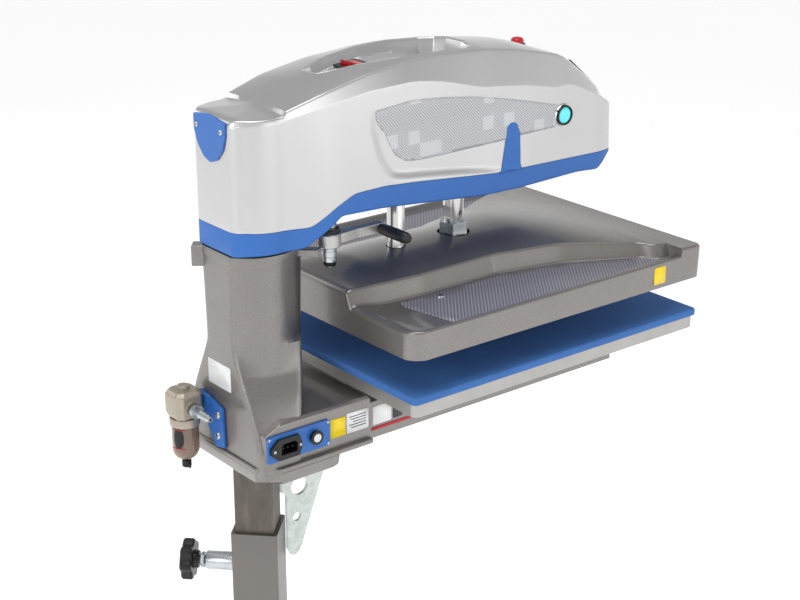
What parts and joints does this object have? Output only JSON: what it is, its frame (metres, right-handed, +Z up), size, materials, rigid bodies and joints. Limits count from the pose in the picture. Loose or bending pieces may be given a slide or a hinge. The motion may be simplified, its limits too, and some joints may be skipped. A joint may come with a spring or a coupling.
{
  "type": "heat press",
  "caption": "Pedestal heat press with a swing-away pneumatic head, a flat heated upper platen, a padded lower platen on a drawer slide, and a height-adjustable caster stand.",
  "frame": {"origin": "floor level under the middle of the overall outline", "axes": "+Z up; the operator stands at -Y and faces +Y; +X is the operator's right"},
  "size_m": [0.8838, 0.861, 1.3325],
  "materials": {
    "silver_paint": "satin silver metallic paint on moulded shell",
    "grey_paint": "cast aluminium under warm-grey fine-texture metallic paint",
    "blue_paint": "satin blue",
    "blue_pad": "matt silicone sponge",
    "raw_aluminium": "bare machined",
    "chrome": "ground and polished",
    "zinc": "zinc plated",
    "dark_steel": "dark bare steel tube",
    "tube_paint": "warm-grey metallic paint",
    "galvanised": "galvanised sheet",
    "black_plastic": "satin black",
    "red_plastic": "gloss red",
    "teal_lens": "lit translucent cap",
    "carbon": "carbon-weave printed film",
    "beige_metal": "die-cast, painted",
    "smoky_bowl": "smoky translucent polycarbonate",
    "bronze": "plain bearing bronze",
    "rubber": "grey-black tread",
    "insulation": "ceramic fibre blanket"
  },
  "bodies": {
    "stand": {"outer_mast_tube": "tube_paint", "leg_front_left": "tube_paint", "leg_front_right": "tube_paint", "leg_rear_left": "tube_paint", "leg_rear_right": "tube_paint", "clamp_boss": "zinc"},
    "clamp_screw_slider": {"clamp_screw": "zinc"},
    "clamp_knob_body": {"clamp_knob": "black_plastic"},
    "press_base": {"inner_mast_tube": "dark_steel", "mast_gusset": "galvanised", "base_casting": "grey_paint", "swing_post": "chrome", "rail_housing": "grey_paint", "rail_left": "raw_aluminium", "rail_right": "raw_aluminium", "power_panel": "blue_paint", "power_inlet": "black_plastic", "filter_bracket": "blue_paint", "filter_body": "beige_metal", "filter_bowl": "smoky_bowl", "hose_barb": "zinc"},
    "reset_button_body": {"reset_button": "zinc"},
    "drain_cock_body": {"drain_cock": "black_plastic"},
    "platen_drawer": {"draw_carriage": "raw_aluminium", "platen_post": "grey_paint", "lower_platen": "raw_aluminium", "lower_pad": "blue_pad"},
    "swing_head": {"head_cover": "silver_paint", "top_tray": "carbon", "rocker_frame": "black_plastic", "head_trim": "blue_paint", "head_frame": "grey_paint", "swing_bush": "bronze", "guide_bush": "bronze", "air_cylinder": "raw_aluminium", "rear_badge": "blue_paint", "control_panel": "black_plastic", "start_bezel_left": "chrome", "start_bezel_right": "chrome"},
    "power_rocker_body": {"power_rocker": "red_plastic"},
    "stop_button_body": {"stop_button": "red_plastic"},
    "start_button_left_body": {"start_button_left": "teal_lens"},
    "start_button_right_body": {"start_button_right": "teal_lens"},
    "lock_lever": {"lever_post": "zinc", "lever_arm": "raw_aluminium", "lever_grip": "black_plastic"},
    "upper_platen": {"platen_cover": "grey_paint", "heater_plate": "raw_aluminium", "insulation_blanket": "insulation", "piston_rod": "chrome", "rod_nut": "zinc", "guide_shaft": "chrome"},
    "caster_front_left": {"caster_fork_front_left": "zinc"},
    "wheel_front_left": {"caster_wheel_front_left": "rubber"},
    "caster_front_right": {"caster_fork_front_right": "zinc"},
    "wheel_front_right": {"caster_wheel_front_right": "rubber"},
    "caster_rear_left": {"caster_fork_rear_left": "zinc"},
    "wheel_rear_left": {"caster_wheel_rear_left": "rubber"},
    "caster_rear_right": {"caster_fork_rear_right": "zinc"},
    "wheel_rear_right": {"caster_wheel_rear_right": "rubber"}
  },
  "joints": [
    {"name": "height_adjust", "type": "slide", "parent": "stand", "child": "press_base", "axis": [0, 0, 1], "range_m": [-0.03, 0.12]},
    {"name": "clamp_screw_travel", "type": "slide", "parent": "stand", "child": "clamp_screw_slider", "axis": [0.7071, 0.7071, 0], "range_m": [0, 0.0035]},
    {"name": "clamp_knob_turn", "type": "hinge", "parent": "clamp_screw_slider", "child": "clamp_knob_body", "pos_m": [0, 0.1798, 0.672], "axis": [0.7071, 0.7071, 0], "range_deg": [0, 720]},
    {"name": "reset_button_press", "type": "slide", "parent": "press_base", "child": "reset_button_body", "axis": [1, 0, 0], "range_m": [0, 0.002], "stiffness_N_per_m": 900, "springref_m": -0.002},
    {"name": "drain_cock_turn", "type": "hinge", "parent": "press_base", "child": "drain_cock_body", "pos_m": [0.046, 0.2558, 0.826], "axis": [0, 0, 1], "range_deg": [0, 90]},
    {"name": "platen_draw", "type": "slide", "parent": "press_base", "child": "platen_drawer", "axis": [0, -1, 0], "range_m": [0, 0.175]},
    {"name": "head_swing", "type": "hinge", "parent": "press_base", "child": "swing_head", "pos_m": [0, 0.1758, 1.118], "axis": [0, 0, 1], "range_deg": [0, 100]},
    {"name": "power_rocker_tip", "type": "hinge", "parent": "swing_head", "child": "power_rocker_body", "pos_m": [0, 0.0178, 1.3175], "axis": [-1, 0, 0], "range_deg": [0, 18]},
    {"name": "stop_button_press", "type": "slide", "parent": "swing_head", "child": "stop_button_body", "axis": [0, 0, -1], "range_m": [0, 0.003], "stiffness_N_per_m": 700, "springref_m": -0.002},
    {"name": "start_button_left_press", "type": "slide", "parent": "swing_head", "child": "start_button_left_body", "axis": [1, 0, 0], "range_m": [0, 0.003], "stiffness_N_per_m": 600, "springref_m": -0.002},
    {"name": "start_button_right_press", "type": "slide", "parent": "swing_head", "child": "start_button_right_body", "axis": [-1, 0, 0], "range_m": [0, 0.003], "stiffness_N_per_m": 600, "springref_m": -0.002},
    {"name": "lock_lever_turn", "type": "hinge", "parent": "swing_head", "child": "lock_lever", "pos_m": [-0.057, 0.0978, 1.122], "axis": [0, 0, -1], "range_deg": [0, 40]},
    {"name": "platen_press", "type": "slide", "parent": "swing_head", "child": "upper_platen", "axis": [0, 0, -1], "range_m": [0, 0.0472], "stiffness_N_per_m": 4000, "springref_m": -0.1},
    {"name": "caster_swivel_front_left", "type": "hinge", "parent": "stand", "child": "caster_front_left", "pos_m": [-0.40305, -0.22325, 0.105], "axis": [0, 0, 1], "continuous": true},
    {"name": "caster_roll_front_left", "type": "hinge", "parent": "caster_front_left", "child": "wheel_front_left", "pos_m": [-0.40305, -0.25125, 0.0375], "axis": [1, 0, 0], "continuous": true},
    {"name": "caster_swivel_front_right", "type": "hinge", "parent": "stand", "child": "caster_front_right", "pos_m": [0.40305, -0.22325, 0.105], "axis": [0, 0, 1], "continuous": true},
    {"name": "caster_roll_front_right", "type": "hinge", "parent": "caster_front_right", "child": "wheel_front_right", "pos_m": [0.40305, -0.25125, 0.0375], "axis": [1, 0, 0], "continuous": true},
    {"name": "caster_swivel_rear_left", "type": "hinge", "parent": "stand", "child": "caster_rear_left", "pos_m": [-0.21213, 0.39193, 0.105], "axis": [0, 0, 1], "continuous": true},
    {"name": "caster_roll_rear_left", "type": "hinge", "parent": "caster_rear_left", "child": "wheel_rear_left", "pos_m": [-0.21213, 0.36393, 0.0375], "axis": [1, 0, 0], "continuous": true},
    {"name": "caster_swivel_rear_right", "type": "hinge", "parent": "stand", "child": "caster_rear_right", "pos_m": [0.21213, 0.39193, 0.105], "axis": [0, 0, 1], "continuous": true},
    {"name": "caster_roll_rear_right", "type": "hinge", "parent": "caster_rear_right", "child": "wheel_rear_right", "pos_m": [0.21213, 0.36393, 0.0375], "axis": [1, 0, 0], "continuous": true}
  ],
  "couplings": [
    {"joint": "clamp_knob_turn", "follows": "clamp_screw_travel", "rad_per_m": 3590.4}
  ]
}
